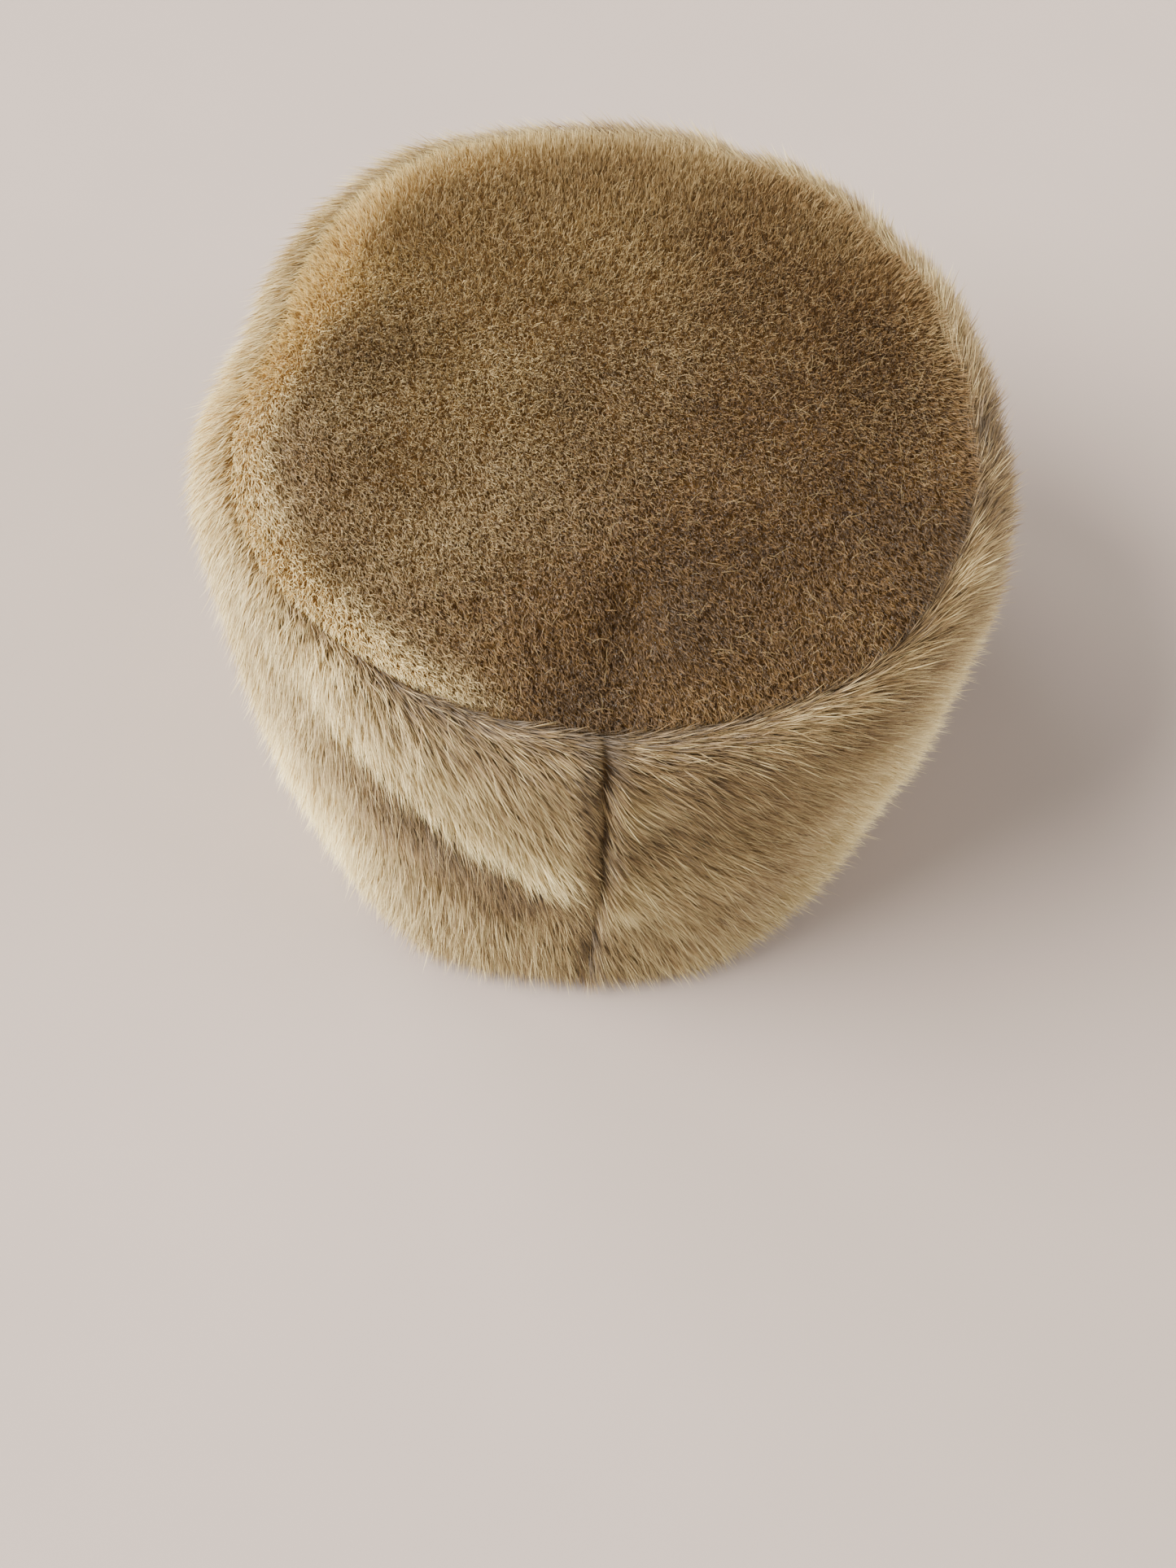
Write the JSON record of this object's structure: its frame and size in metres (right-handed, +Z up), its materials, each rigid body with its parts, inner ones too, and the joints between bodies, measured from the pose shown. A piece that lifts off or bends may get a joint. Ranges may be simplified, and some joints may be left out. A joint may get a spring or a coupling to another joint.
{
  "type": "pillbox hat",
  "caption": "Pillbox hat in short honey-beige plush: a flat oval crown panel set into a one-strip side band with an upright back seam, open below for the head.",
  "frame": {"origin": "middle of the hat's outline on the surface it rests on", "axes": "+Z up through the crown, -Y to the front, the upright back seam at +Y, +X to the wearer's left"},
  "size_m": [0.213, 0.2257, 0.1124],
  "materials": {
    "band_plush": "short plush pile lying down and to one side",
    "crown_plush": "short plush pile standing up"
  },
  "bodies": {
    "root": {"side_band": "band_plush", "crown_top": "crown_plush"}
  },
  "joints": []
}
